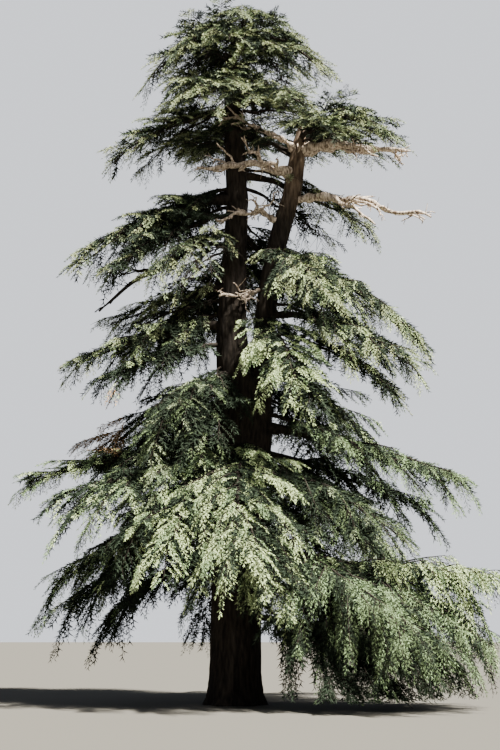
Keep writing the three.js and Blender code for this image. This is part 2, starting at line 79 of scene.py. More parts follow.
# Height, centre in X, half widths along X and Y
TRUNK = [
    (0, 0, 1.14, 1.12), (0.4, 0, 1.03, 1.01), (1.1, 0, 0.99, 0.98), (2.4, 0.01, 0.96, 0.95),
    (5, 0.06, 0.96, 0.9), (8, 0.2, 1.0, 0.85), (10.2, 0.36, 1.08, 0.8), (11.6, 0.33, 1.06, 0.74),
    (12.7, -0.04, 0.74, 0.66), (14.2, -0.19, 0.61, 0.58), (17, -0.09, 0.5, 0.49),
    (19.8, 0.04, 0.45, 0.44), (22.1, -0.07, 0.42, 0.41), (24, -0.18, 0.34, 0.33),
    (25.8, -0.27, 0.24, 0.23), (27.1, 0.12, 0.12, 0.12),
]
SECOND = [
    (10.2, 0.72, 0.42, 0.42), (11.6, 0.95, 0.47, 0.45), (13, 1.08, 0.45, 0.44),
    (14.6, 1.13, 0.43, 0.43), (16, 1.28, 0.42, 0.42), (17.6, 1.56, 0.4, 0.4),
    (18.9, 1.9, 0.4, 0.39), (20.1, 2.26, 0.38, 0.37), (21.2, 2.42, 0.36, 0.35),
    (22.3, 2.56, 0.26, 0.26), (23.2, 2.74, 0.15, 0.15), (23.9, 2.84, 0.06, 0.06),
]
FLARE_LOBES = 6
FLARE_DEPTH = 0.1  # as a share of the trunk's half width
FLARE_HEIGHT = 1.4
FLARE_PHASE = 20

# The crown's top: its stem, with its radius at foot and tip, and the arms that wind up it. Of places, pitch
# and shrink the first value is for the lowest arm, and lengths is a range of seeded values.
TOP_KEYS = "tip inset tip_inset stem arms places sway pitch reach shrink lengths half wood fall weep curl"
Top = namedtuple("Top", TOP_KEYS)
TOP = Top(
    tip=(0.34, 0, 28.1), inset=0.1, tip_inset=0.15, stem=(0.1, 0.03), arms=16, places=(0.2, 0.94), sway=10,
    pitch=(20, 30), reach=2.9, shrink=(1, 0.4), lengths=(0.8, 1), half=0.6, wood=0.03, fall=0.5, weep=0.4,
    curl=0.4,
)

# One row for each live bough: the stem that it grows on, the height of its root, its heading, its length in
# plan, its tip's height over its root, its first slope, its foliage's half width, how far its branchlets hang
# (1 is fully), its arms' rise out of its plate, the share of it with no foliage, and whether that is a limb
# of its own
Bough = namedtuple("Bough", "name stem z turn reach drop rise half weep lift bare limb")
BOUGH_ROWS = [
    ("dome_left", TRUNK, 26.7, 184, 3.6, -1.6, 42, 2.3, 0.12, 2, 0.14, False),
    ("dome_right", TRUNK, 26.6, 356, 3.9, -1.5, 40, 2.1, 0.12, 2, 0.14, False),
    ("dome_front", TRUNK, 26.2, 268, 2.8, -0.6, 26, 1.9, 0.1, 4, 0.12, False),
    ("dome_back", TRUNK, 26.3, 88, 3.4, -0.9, 34, 2.4, 0.2, 8, 0.12, False),
    ("upper_front", TRUNK, 24.4, 250, 3.7, -1.6, 24, 2.6, 0.12, 10, 0.14, False),
    ("upper_right", TRUNK, 23.7, 308, 4.4, -1.1, 18, 1.9, 0.1, 10, 0.16, False),
    ("upper_left", TRUNK, 23.6, 184, 5.0, -2.3, 12, 1.8, 0.2, 12, 0.14, False),
    ("upper_left_low", TRUNK, 22.3, 184, 2.9, -0.2, 6, 1, 0.2, 4, 0.16, False),
    ("upper_back", TRUNK, 23.4, 96, 4.2, -0.8, 6, 2.2, 0.2, 14, 0.14, False),
    ("fork_right", SECOND, 22.8, 352, 3.9, -0.7, 42, 2.0, 0.12, 12, 0.2, False),
    ("fork_left", SECOND, 21.7, 168, 3.4, 1.6, 34, 1.5, 0.2, 12, 0.36, False),
    ("fork_front", SECOND, 22.4, 296, 2.7, -0.4, 26, 1.9, 0.1, 12, 0.24, False),
    ("fork_back", SECOND, 22.1, 62, 3.9, 1.1, 44, 1.8, 0.12, 14, 0.2, False),
    ("high_right", TRUNK, 20.9, 22, 6.2, -1.5, 4, 1.6, 0.45, 4, 0.3, False),
    ("high_left_back", TRUNK, 20.1, 152, 5.6, -1.2, 6, 1.9, 0.35, 4, 0.14, False),
    ("high_left", TRUNK, 19.8, 190, 6.5, -3.0, 3, 2.5, 0.28, 4, 0.2, True),
    ("high_left_front", TRUNK, 18.3, 222, 4.3, -2.4, 0, 1.7, 0.45, 4, 0.16, False),
    ("high_back_right", TRUNK, 18.6, 62, 5.6, -1.9, 2, 2.2, 0.4, 4, 0.16, False),
    ("high_back", TRUNK, 17.2, 112, 6.2, -2.2, 2, 2.4, 0.4, 4, 0.16, False),
    ("middle_front", SECOND, 17.3, 297, 4.3, -2.6, 4, 1.9, 0.45, 4, 0.16, False),
    ("middle_right", SECOND, 17.2, 352, 5.9, -3.8, 5, 2.5, 0.35, 4, 0.2, True),
    ("middle_right_low", SECOND, 14.9, 338, 6.2, -2.6, 8, 2.3, 0.3, 4, 0.24, False),
    ("middle_left_low", TRUNK, 16.2, 170, 5.3, -1.4, 0, 1.8, 0.4, 4, 0.18, False),
    ("middle_fan", SECOND, 14.4, 284, 5.0, -3.4, 2, 2.1, 0.35, 4, 0.14, False),
    ("middle_left", TRUNK, 14.5, 188, 6.3, -1.7, 4, 2.5, 0.45, 4, 0.2, True),
    ("middle_back_right", TRUNK, 13.3, 36, 7.2, -2.9, 0, 2.6, 0.45, 4, 0.22, False),
    ("middle_left_front", TRUNK, 12.5, 230, 5, -2.9, 0, 2, 0.45, 4, 0.24, False),
    ("middle_left_back", TRUNK, 12.2, 160, 6.6, -2.7, 0, 2.3, 0.5, 4, 0.2, False),
    ("middle_back", TRUNK, 12.6, 98, 7, -2.8, 0, 2.7, 0.45, 4, 0.2, False),
    ("low_right", TRUNK, 10.5, 353, 8.4, -2.2, -4, 2.8, 0.45, 4, 0.3, True),
    ("low_left", TRUNK, 9.9, 178, 8.6, -1.5, 0, 2.5, 0.3, 4, 0.24, True),
    ("low_left_front", TRUNK, 9.5, 212, 7.3, -2.9, 0, 2.6, 0.4, 4, 0.14, False),
    ("low_fan", TRUNK, 9.2, 268, 6.7, -4.3, 6, 3.0, 0.45, 4, 0.12, False),
    ("low_fan_left", TRUNK, 8.9, 242, 6.6, -4.1, 6, 2.6, 0.45, 4, 0.12, False),
    ("low_right_front", TRUNK, 9.0, 327, 7.2, -3.4, -2, 2.0, 0.35, 4, 0.24, False),
    ("low_back_right", TRUNK, 9.2, 44, 8.8, -3.7, 0, 2.9, 0.5, 4, 0.24, False),
    ("low_back_left", TRUNK, 8.8, 136, 7.9, -3.7, 0, 2.9, 0.5, 4, 0.24, False),
    ("lowest_back", TRUNK, 7.8, 90, 8.4, -4.2, 2, 3, 0.6, 4, 0.26, False),
    ("lowest_left", TRUNK, 7.5, 172, 7.3, -3.0, 2, 2.6, 0.7, 4, 0.3, True),
    ("lowest_right", TRUNK, 5.4, 342, 9.8, -0.8, -6, 3.0, 1.1, 14, 0.34, True),
    ("lowest_right_front", TRUNK, 5.8, 316, 9.0, -3.6, 4, 2.9, 0.85, 4, 0.34, False),
    ("lowest_right_middle", TRUNK, 5.4, 335, 9.5, -3.1, 8, 3.2, 1.0, 10, 0.24, False),
    ("lowest_front_right", TRUNK, 6.9, 288, 5.2, -3.7, 4, 2, 0.5, 4, 0.24, False),
]
BOUGHS = [Bough(*row) for row in BOUGH_ROWS]

# One row for each dead limb: its stem, height, heading, reach, drop, first slope and root radius, then its
# forks: the share of it where each leaves, the turn from it, and the fork's reach and drop
Dead = namedtuple("Dead", "name stem z turn reach drop rise thick forks")
RIGHT_LONG_FORKS = [(0.16, -16, 2.9, -1.6), (0.4, -24, 2, -1), (0.8, 34, 1, 0)]
CROSSING_HIGH_FORKS = [(0.16, 14, 2.1, 0.9), (0.62, -30, 1.1, 0.3)]
DEAD = [
    Dead("fork_long", SECOND, 21.95, 349, 4.6, -0.3, 0, 0.3, [(0.26, -20, 2.3, -0.9), (0.8, 34, 0.9, -0.2)]),
    Dead("right_long", SECOND, 19.8, 347, 5.6, -1.2, 4, 0.2, RIGHT_LONG_FORKS),
    Dead("arching", SECOND, 21.9, 197, 3.3, 1.3, 34, 0.16, [(0.55, -25, 1.2, 0.5)]),
    Dead("crossing_high", SECOND, 20.9, 200, 4.1, -0.2, 12, 0.2, CROSSING_HIGH_FORKS),
    Dead("crossing_low", SECOND, 18.8, 202, 2.9, -0.2, 20, 0.15, [(0.4, 48, 1.1, -0.4)]),
    Dead("stub", SECOND, 15.9, 204, 2.0, -0.6, 10, 0.13, [(0.4, 40, 0.7, -0.5)]),
    Dead("left_bare", TRUNK, 17.9, 184, 5.4, -2.8, 2, 0.13, [(0.66, 24, 1.4, -0.3)]),
]
BARKED = ["left_bare"]  # dead limbs that still carry their bark

# Finer growth than the frame's: a mass holds a bough and thinner ones over and under it, boughs carry arms,
# arms carry branchlets, branchlets carry twigs, and twigs carry needles. A layer is one of those boughs.
# Its height up over the mass's own is a share of the foliage's half width; its reach, half and radius are
# shares of the mass's own; inner is the share of old sprays in shade, at an arm's foot and at its tip, which
# are dealt a near-black tint as painted shade; leafy is the share of sprays that carry needles.
Layer = namedtuple("Layer", "up turn reach half radius inner leafy")
# The under layers carry most of the painted shade, as near-black sprays under each shelf
DEEP_LAYERS = [
    Layer(up=0, turn=0, reach=1, half=1, radius=1, inner=(0.6, 0.06), leafy=1),
    Layer(up=-0.32, turn=14, reach=0.84, half=0.9, radius=0.5, inner=(0.95, 0.5), leafy=0.95),
    Layer(up=0.2, turn=-12, reach=0.68, half=0.8, radius=0.4, inner=(0.5, 0.05), leafy=1),
]
OPEN_LAYERS = [
    Layer(up=0, turn=0, reach=1, half=1, radius=1, inner=(0.4, 0.06), leafy=0.85),
    Layer(up=-0.32, turn=14, reach=0.84, half=0.9, radius=0.5, inner=(0.7, 0.3), leafy=0.3),
    Layer(up=0.16, turn=-12, reach=0.75, half=0.8, radius=0.4, inner=(0.4, 0.05), leafy=0.65),
]
FLAT_LAYERS = [
    Layer(up=0, turn=0, reach=1, half=1, radius=1, inner=(0.45, 0.05), leafy=1),
    Layer(up=-0.12, turn=21, reach=0.88, half=0.9, radius=0.5, inner=(0.7, 0.2), leafy=0.65),
    Layer(up=0.05, turn=-19, reach=0.82, half=0.85, radius=0.4, inner=(0.5, 0.05), leafy=1),
]
DOME_LAYERS = [
    Layer(up=0, turn=0, reach=1, half=1, radius=1, inner=(0.55, 0.05), leafy=1),
    Layer(up=-0.03, turn=44, reach=0.9, half=0.85, radius=0.5, inner=(0.7, 0.15), leafy=1),
    Layer(up=-0.2, turn=-22, reach=0.8, half=0.7, radius=0.4, inner=(0.9, 0.4), leafy=0.6),
]
DENSE_LAYERS = [
    Layer(up=0, turn=0, reach=1, half=1, radius=1, inner=(0.6, 0.06), leafy=1),
    Layer(up=-0.34, turn=12, reach=0.9, half=0.95, radius=0.5, inner=(0.95, 0.6), leafy=1),
    Layer(up=-0.7, turn=-10, reach=0.8, half=0.8, radius=0.4, inner=(1, 0.85), leafy=1),
    Layer(up=0.06, turn=-5, reach=0.97, half=0.7, radius=0.3, inner=(0.2, 0.02), leafy=1),
]
TIER_LAYERS = {"dome": DOME_LAYERS, "upper": FLAT_LAYERS, "fork": FLAT_LAYERS}

# Arms: each range is of seeded values
ARM_STEP = 0.78  # along a bough, on each side
LEAST_ARMS = 3  # on each side
ARM_END_SPACE = 0.5  # what is left free at the bough's tip, in steps
ARM_SWAY = 16  # range of the change in turn and in pitch
ARM_LENGTHS = (0.75, 1)  # as a share of the way to the edge of the bough's plate
ARM_HALF = (0.42, 0.6)  # half width of its own plate
ARM_THICK = 0.3  # radius at its root, as a share of its bough's there
ARM_FALLS = (0.5, 1.1)  # share of the rule's fall
ARM_CURL = 0.5  # range of the curl sideways, as a share of its length
ARM_CURL_OUT = 0.12  # its mean curl towards the bough's tip
SPINE_START = 0.15  # share of a bough's leafy length from which sprays grow on the bough itself
SPINE_END = 0.98
SPINE_TILT = 0.25  # rise of the sprays on the bough itself

# Branchlets
ARM_PLATE = Plate(foot=0.1, widest=0.36, swell=1, taper=0.35)
ARM_EDGE = 0.08  # what is added to the half width of an arm's plate all along
BRANCHLET_STEP = 0.215  # along an arm, on each side
LEAST_BRANCHLETS = 3  # on each side
BRANCHLET_OFFSET = 0.8  # place of the first, in half steps, and the range that each place changes over
BRANCHLET_END = 0.985  # last share of an arm that carries one
BRANCHLET_ANGLE = 50
BRANCHLET_SPREAD = 24  # range of the change in that angle
BRANCHLET_CLOSING = 18  # how much less the angle is at an arm's tip
BRANCHLET_HANG = 0.8  # share of their arm's hang that they follow
BRANCHLET_TILT = (0.28, 0.4)  # range of its slope out of its arm's plate, and the share of it below that
BRANCHLET_LENGTHS = (0.65, 1.2)  # as a share of the way to the edge of the arm's plate
BRANCHLET_DROOP = (0.15, 0.6)  # share of its length that it droops, on a level and on a weeping bough
BRANCHLET_DROOPS = (0.4, 1.4)  # range of the change in that
BARE_WOOD = 0.4  # length from which a branchlet's wood shows

# Twigs and needles
TWIG_STEP = 0.15  # along a branchlet, on each side
TWIG_OFFSET = 0.9  # place of the first, in half steps
TWIG_END = 0.94  # last share of a branchlet that carries one
TWIG_LENGTH = 0.19
TWIG_LENGTHS = (0.6, 1.25)  # range of its change
TWIG_SHORTENING = (1.05, 0.8)  # its change along a branchlet
TWIG_ANGLE = 32
TWIG_SPREAD = 20  # range of the change in that angle
TWIG_TILT = (0.34, 0.45)  # range of its slope off its branchlet, and the share of it below that
NEEDLES = 5  # tufts on a twig
NEEDLE_OFFSET = 0.6  # place of the first, in steps
NEEDLE_LENGTH = 0.1
NEEDLE_WIDTH = 0.042
NEEDLE_SIZES = (0.75, 1.2)  # range of the change in both
NEEDLE_LEAN = (10, 34)  # lean off the twig, of the last tuft and of the others
INNER_NEEDLES = 3  # tufts on an old twig in shade, whose near-black tint is painted shade
INNER_SIZE = (2.6, 1.5)  # their size at the foot and at the tip of an arm, as a share of the outer ones'
CORE_PAINTED_SHADE = 0.5  # further share of sprays at the foot of a bough that get the near-black tint, as painted shade
CORE_END = 0.5  # share of a bough's leafy length at which that ends

# Wood inside the foliage
BOUGH_SINK = 0.16  # how far a bough's wood runs under the line that its sprays grow on
SINK_OVER = 0.1  # share of a bough, from its bare foot on, over which it sinks
BOUGH_END = 0.97  # share of a bough at which its wood ends
BOUGH_THINNING = 0.35  # its further thinning at its tip
ARM_WOOD = 0.96  # share of an arm that has wood
ARM_RINGS = 5
ARM_THINNING = 0.25
BRANCHLET_WOOD = (0, 0.9)  # where a branchlet's wood starts and ends
BRANCHLET_RADIUS = (0.012, 0.006)
THIN_SIDES = 3  # of arms and all that is thinner
HANGER_PLACES = (0.05, 0.65)  # shares of an arm between which a bare twig hangs
HANGER_SPREAD = 120
HANGER_REACH = (0.3, 0.9)
HANGER_OUT = 0.45  # share of its reach that it stands out
HANGER_FALL = 0.8  # share of its reach that it falls
HANGER_BEND = 1.6  # power of that fall
HANGER_RADIUS = (0.018, 0.008)
HANGER_RINGS = 3

# Limbs with relief: how far they wander off their curve, and their knobs' height as a share of their radius
Limb = namedtuple("Limb", "sides rings wander knobs")
BOUGH_LIMB = Limb(sides=7, rings=22, wander=0.12, knobs=0.25)
TOP_LIMB = Limb(sides=6, rings=6, wander=0, knobs=0)
DEAD_LIMB = Limb(sides=10, rings=26, wander=0.34, knobs=0.7)
DEAD_FORK = Limb(sides=8, rings=14, wander=0.26, knobs=0.6)
FORK_THICK = 0.8  # radius of a dead limb's fork at its root, as a share of the limb's there
FORK_TIP = 0.5  # its radius at its tip, as a share of the limb's there
WANDER_STEP = 4.5  # a limb's length in the noise that it wanders by
WANDER_GROWTH = 3  # its wander is full from a third of its length on
ROW_STEP = 3.1  # distance in the noise between the rows of limbs that wander
KNOB_SCALE = 3.1  # how often knobs repeat, per metre
BOUGH_ROW = (1.7, 9)  # the first bough's place among those rows, and a layer's distance from the next
DEAD_ROW = 0.37
FORK_ROW = (3.3, 9.1)  # distance between a limb's forks, and the first one's place

# Short crooked branches on dead limbs, each with a twig; thick is a share of the radius that they grow on
Prong = namedtuple("Prong", "rings sides thick tip")
PRONG = Prong(rings=6, sides=5, thick=0.6, tip=0.018)
PRONG_TWIG = Prong(rings=4, sides=4, thick=0.7, tip=0.01)
PRONG_PLACES = [0.3, 0.44, 0.56, 0.68, 0.78, 0.88, 0.96]  # shares of a dead limb where they grow
PRONG_REACH = (1.2, 0.35)  # at the limb's root and at its tip
PRONG_LENGTHS = (0.6, 1.2)  # range of its change
PRONG_FOOT = 0.008  # what is added to their radius at the root
PRONG_ASIDE = (0.4, 1.1)  # range of their slope aside
PRONG_RISE = (-0.7, 0.5)  # range of their slope up
PRONG_KINK = 0.09
PRONG_TWIG_RING = 3  # ring that the twig grows from
PRONG_TWIG_REACH = 0.5  # as a share of the branch's
PRONG_TWIG_STRAY = 0.8
FORK_SEED = (10, 40)  # distance between limbs, and the first fork's place, among the seeds of short branches

# Relief of the bark: how often its furrows repeat round a stem and along it, per metre, their place in the
# noise, how sharp they are, and their share of the whole depth
Furrow = namedtuple("Furrow", "across along place sharp share")
RIDGES = Furrow(across=4.6, along=0.9, place=0, sharp=5.5, share=0.75)
CRACKS = Furrow(across=11, along=2.6, place=7, sharp=4, share=0.25)
RIDGE_WANDER = (0.9, 0.35)  # how often the ridges wander, round a stem and along it, per metre
FURROW_DEPTH = 0.055
FURROW_LIMIT = 0.12  # greatest depth, as a share of the stem's half width
TRUNK_GRID = (100, 210)  # points round a stem and along it
SECOND_GRID = (64, 110)

# Colours of wood, in streaks along it
Wood = namedtuple("Wood", "low high scale stretch roughness relief")
# The bark's own dark tone, made darker still as painted shade for wood in the crown's shade
SHADE_DARKENED_BARK = Wood((0.01, 0.008, 0.0065), (0.036, 0.029, 0.023), scale=9, stretch=5, roughness=0.95, relief=0.02)
DEAD_WOOD = Wood((0.13, 0.09, 0.06), (0.76, 0.64, 0.52), scale=14, stretch=4, roughness=0.85, relief=0.01)
WORN = ((0.055, 0.038, 0.027), (0.2, 0.145, 0.1))
WORN_FROM = (18.8, 20.6)  # heights over which the second leader's bark gives way to worn wood
STREAKS = (0.35, 0.68)  # range of the noise between the two colours
STREAK_DETAIL = 6
SPECULAR = 0.12  # of needles, wood and floor

# Colours of needles, and the shares that they are dealt in
NEEDLE_ROUGHNESS = 0.75
NEEDLE_TINTS = [
    ("olive", (0.25, 0.285, 0.145)),
    ("sage", (0.225, 0.275, 0.155)),
    # The next tint is a darker real green, made darker still as painted shade for needles that shade one
    # another
    ("green", (0.085, 0.12, 0.055)),
    ("blue_green", (0.2, 0.285, 0.14)),
    ("pale_blue_green", (0.43, 0.53, 0.26)),
    # The next tint is painted shade: near-black, for sprays that lie in shade inside the crown
    ("deep", (0.016, 0.025, 0.014)),
    ("brown", (0.42, 0.27, 0.14)),
]
TINT = {name: i for i, (name, _) in enumerate(NEEDLE_TINTS)}
# Every mix deals some sprays the near-black painted shade tint, for shade among the needles
UPPER_TINTS = [("olive", 0.45), ("sage", 0.3), ("green", 0.15), ("deep", 0.1)]
MIDDLE_TINTS = [("pale_blue_green", 0.24), ("olive", 0.28), ("sage", 0.2), ("green", 0.15), ("deep", 0.13)]
LOWER_TINTS = [
    ("blue_green", 0.32), ("pale_blue_green", 0.26), ("sage", 0.14), ("green", 0.14), ("deep", 0.14),
]
# The next three mixes are painted light and shade: paler for masses in full sun, darker for those in shade
# and half shade
PAINTED_SUN_TINTS = [("pale_blue_green", 0.7), ("blue_green", 0.14), ("green", 0.08), ("deep", 0.08)]
PAINTED_SHADE_TINTS = [("green", 0.45), ("sage", 0.15), ("deep", 0.4)]
PAINTED_HALF_SHADE_TINTS = [("blue_green", 0.4), ("green", 0.36), ("deep", 0.24)]
MIDDLE = 18  # height of its root under which a bough has the middle's needles
LOWER = 13.5  # height of its root under which a bough has the lower crown's, which are bluish
BROWN_PATCH = ((-6.6, -4.4), (9.4, 11.5), 2.5)  # dying foliage: range in X and Z, greatest Y
BROWN_SHARE = 0.75  # share of the twigs there that are brown

# Masses that differ from the rest
PAINTED_SUN_MASSES = ["middle_fan", "low_fan", "low_fan_left", "lowest_front_right", "lowest_right"]  # given paler tints in full sun, as painted light
PAINTED_SHADE_MASSES = ["low_right_front", "middle_left_front", "middle_left_back"]  # in shade, given darker tints as painted shade
CURTAIN = ["lowest_right", "lowest_right_middle", "lowest_right_front"]  # weeping to near the ground
PAINTED_HALF_SHADE_MASSES = [*CURTAIN, "low_right"]  # in half shade, given darker tints as painted shade
DENSE = [*CURTAIN, "lowest_left"]
OPEN = ["high_left_back", "high_left_front", "high_right", "middle_left_low"]  # seen through
# Masses sunlit to their roots, which get no painted shade at their foot
SUNLIT_TO_ROOT = [
    *PAINTED_SUN_MASSES, "upper_front", "upper_left", "fork_front", "dome_front", "middle_left_low", "low_left_front",
]

# Limits
PIECE_MASSES = 4  # masses in one piece of the scene
GROUND_GAP = 0.3  # least height of foliage over the ground
BOX_MARGIN = 0.3  # how far foliage may stand out of the frame's box at its sides
UPRIGHT = 0.8  # rise for its length over which a tube's rings are squared to X instead of Z
LEAST_LENGTH = 1e-9  # least that a vector is divided by

# The camera that the photograph's framing gives
CAMERA_PLACE = (0.55, -46.3, 2.8)
CAMERA_PITCH = 11.9
CAMERA_LENS = 57.6
CAMERA_SENSOR = 36
CAMERA_RANGE = 500

# Stage
FLOOR_SIZE = 400
FLOOR_DROP = 0.002
FLOOR_COLOUR = (0.095, 0.09, 0.078)
FLOOR_ROUGHNESS = 0.9
FILL_COLOUR = (0.8, 0.87, 1)
FILL_STRENGTH = 0.3
BACKDROP_COLOUR = (0.86, 0.89, 0.95)
BACKDROP_STRENGTH = 1.3
SUN_STRENGTH = 30
SUN_WIDTH = 3
SUN_COLOUR = (1, 0.96, 0.88)
SUN_WAY = (-0.55, 0.44, -1.2)  # way that its light goes

radians = np.radians
rng = np.random.default_rng(SEED)
noise.seed_set(SEED)


def lerp(a, b, t):
    return a + (b - a) * t


def vary(values, count):
    """Random values between two."""
    return lerp(*values, rng.random(count))


def sway(count, extent, below=0.5):
    """Random values over a range of some extent, a share of which lies below zero."""
    return extent * (rng.random(count) - below)


def unit(v):
    return v / np.maximum(np.linalg.norm(v, axis=-1, keepdims=True), LEAST_LENGTH)


def inside(points):
    """Whether points are off the ground, under the frame's top, and near enough to the sides of its box."""
    low, high = np.array(CAD_BOX)
    near = (points > low - BOX_MARGIN) & (points < high + BOX_MARGIN * (1 - UP))
    return near.all(axis=-1) & (points[..., 2] > GROUND_GAP)


def stem_middle(stem, z):
    heights = [row[0] for row in stem]
    return np.array([np.interp(z, heights, [row[1] for row in stem]), 0, z])


def heading(turn):
    return np.stack([np.cos(radians(turn)), np.sin(radians(turn)), np.zeros_like(radians(turn))], axis=-1)


def limb_controls(root, turn, reach, drop, rise):
    """The three control points of a limb's parabola."""
    ahead = heading(turn)
    bend = root + ahead * BEND * reach + [0, 0, BEND * reach * np.tan(radians(rise))]
    return root, bend, root + ahead * reach + [0, 0, drop]


def bough_controls(limb):
    return limb_controls(stem_middle(limb.stem, limb.z), limb.turn, limb.reach, limb.drop, limb.rise)


def curve_point(controls, t):
    a, b, c = controls
    t = np.asarray(t, float)[..., None]
    return (1 - t) ** 2 * a + 2 * t * (1 - t) * b + t**2 * c


def curve_tangent(controls, t):
    a, b, c = controls
    t = np.asarray(t, float)[..., None]
    return unit(2 * (1 - t) * (b - a) + 2 * t * (c - b))


def bough_radius(bough, t):
    root = (BOUGH_ROOT[0] + BOUGH_ROOT[1] * bough.reach) * (STOUT if bough.limb else 1)
    return lerp(root, BOUGH_TIP, t)


def plate_half_width(plate, half, share):
    """Half width of a plate of foliage, at a share of its length."""
    swell = np.minimum(1, (share + plate.foot) / plate.widest) ** plate.swell
    return half * swell * np.maximum(0, 1 - share) ** plate.taper


class Surface:
    """Points, faces of one size, and each face's material, gathered for one piece."""

    def __init__(self):
        self.points, self.faces, self.tints, self.size = [], [], [], 0

    def add(self, points, faces, tints=0):
        self.points.append(points.reshape(-1, 3))
        self.faces.append(faces + self.size)
        self.tints.append(np.broadcast_to(tints, len(faces)))
        self.size += len(self.points[-1])

    def piece(self, name, materials, smooth, nodes, slot):
        """Makes the piece, which stands in the place of the frame's nodes."""
        points = np.concatenate(self.points).astype(np.float32)
        faces = np.concatenate(self.faces).astype(np.int32)
        mesh = bpy.data.meshes.new(name)
        mesh.vertices.add(len(points))
        mesh.vertices.foreach_set("co", points.ravel())
        mesh.loops.add(faces.size)
        mesh.loops.foreach_set("vertex_index", faces.ravel())
        mesh.polygons.add(len(faces))
        mesh.polygons.foreach_set("loop_start", np.arange(0, faces.size, faces.shape[1], dtype=np.int32))
        for material in materials:
            mesh.materials.append(material)
        mesh.polygons.foreach_set("material_index", np.concatenate(self.tints).astype(np.int32))
        mesh.polygons.foreach_set("use_smooth", np.full(len(faces), smooth))
        mesh.update(calc_edges=True)
        made = bpy.data.objects.new(name, mesh)
        bpy.context.collection.objects.link(made)
        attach(made, "root")
        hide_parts(*nodes)
        print(f"{name}: {len(faces) * (faces.shape[1] - 2)} triangles")


def ring_angles(sides):
    return np.arange(sides) / sides * 2 * np.pi


def ring_faces(sides):
    """The faces between a ring of points and the next one."""
    k = np.arange(sides)
    return np.stack([k, (k + 1) % sides, (k + 1) % sides + sides, k + sides], axis=-1)


def tubes(surface, middles, radii, sides):
    """Tubes through middles (tube, station, xyz), with radii (tube, station)."""
    count, stations = radii.shape
    along = unit(np.gradient(middles, axis=1))
    chord = unit(middles[:, -1] - middles[:, 0])
    upright = np.abs(chord[:, 2:]) > UPRIGHT
    reference = np.where(upright, [[1.0, 0, 0]], [[0, 0, 1.0]])[:, None, :]
    across = unit(np.cross(along, reference))
    over = np.cross(across, along)
    angles = ring_angles(sides)
    rim = np.cos(angles)[:, None] * across[:, :, None, :] + np.sin(angles)[:, None] * over[:, :, None, :]
    points = middles[:, :, None, :] + radii[:, :, None, None] * rim
    starts = (np.arange(count)[:, None] * stations + np.arange(stations - 1)) * sides
    faces = (starts.reshape(-1, 1, 1) + ring_faces(sides)).reshape(-1, 4)
    surface.add(points, faces)


# Foliage

def arms_of(bough):
    """A bough's arms: alternately on both sides of it, in its plate, with every other one hanging more."""
    controls = bough_controls(bough)
    pairs = max(LEAST_ARMS, round((1 - bough.bare) * bough.reach / ARM_STEP))
    i = np.repeat(np.arange(pairs), 2)
    count = len(i)
    side = np.tile([1, -1], pairs)
    share = (i + np.where(side > 0, *SPRAY_OFFSET)) / (pairs + ARM_END_SPACE)
    t = lerp(bough.bare, 1, share)
    angle = lerp(*SPRAY_ANGLE, share) + sway(count, ARM_SWAY)
    along = curve_tangent(controls, t)
    slope = along[:, 2] / np.hypot(along[:, 0], along[:, 1])
    fall = np.where((i % 2 == 1) ^ (side > 0), *SPRAY_FALL[::-1]) * (LEAST_WEEP + bough.weep)
    edge = plate_half_width(MASS_PLATE, bough.half, share) / np.sin(radians(angle))
    # Painted shade at the bough's foot, none for masses sunlit to their roots
    shade = 0.0 if bough.name in SUNLIT_TO_ROOT else CORE_PAINTED_SHADE
    return {
        "root": curve_point(controls, t),
        "turn": bough.turn + side * angle,
        "pitch": np.arctan(slope * np.cos(radians(angle))) + radians(bough.lift + sway(count, ARM_SWAY)),
        "length": edge * vary(ARM_LENGTHS, count),
        "half": vary(ARM_HALF, count),
        "radius": ARM_THICK * bough_radius(bough, t),
        "fall": fall * vary(ARM_FALLS, count),
        "hang": np.full(count, SPRAY_HANG * bough.weep),
        "tilt": np.zeros(count),
        "roll": -side * SPRAY_ROLL * slope * np.sin(radians(angle)),
        "curl": sway(count, ARM_CURL) - ARM_CURL_OUT * side,
        "weep": np.full(count, bough.weep),
        "painted_core_shade": shade * np.maximum(0, 1 - share / CORE_END),
    }


def spine_arm(bough):
    """The bough's own line as one arm with no wood, which clothes it and carries it on at its tip."""
    controls = bough_controls(bough)
    first = lerp(bough.bare, 1, SPINE_START)
    start = curve_point(controls, first)
    end = curve_point(controls, SPINE_END)
    along = curve_tangent(controls, first)
    pitch = np.arctan2(along[2], np.hypot(along[0], along[1]))
    length = np.hypot(*(end - start)[:2]) / np.cos(pitch)
    return {
        "root": start[None],
        "turn": np.array([float(bough.turn)]),
        "pitch": pitch[None],
        "length": length[None],
        "half": np.array([ARM_HALF[0]]),
        "fall": (np.sin(pitch) - (end - start)[2] / length)[None],
        "tilt": np.array([SPINE_TILT]),
        "weep": np.array([bough.weep]),
        **dict.fromkeys(("radius", "hang", "roll", "curl", "painted_core_shade"), np.zeros(1)),
    }


def top_foot():
    return stem_middle(TRUNK, TRUNK[-1][0] - TOP.inset)


def top_arms():
    """The arms of the crown's top, which wind up its stem, the lower ones longer, and arch over."""
    count = TOP.arms
    share = np.arange(count) / (count - 1)
    return {
        "root": lerp(top_foot(), np.array(TOP.tip), lerp(*TOP.places, share)[:, None]),
        "turn": GOLDEN_ANGLE * np.arange(count) + TOP.sway * rng.random(count),
        "pitch": radians(lerp(*TOP.pitch, share)),
        "length": TOP.reach * lerp(*TOP.shrink, share) * vary(TOP.lengths, count),
        "half": np.full(count, TOP.half),
        "radius": np.full(count, TOP.wood),
        "fall": np.full(count, TOP.fall),
        "hang": np.full(count, TOP.weep),
        "curl": sway(count, TOP.curl),
        "weep": np.full(count, TOP.weep),
        **dict.fromkeys(("tilt", "roll", "painted_core_shade"), np.zeros(count)),
    }


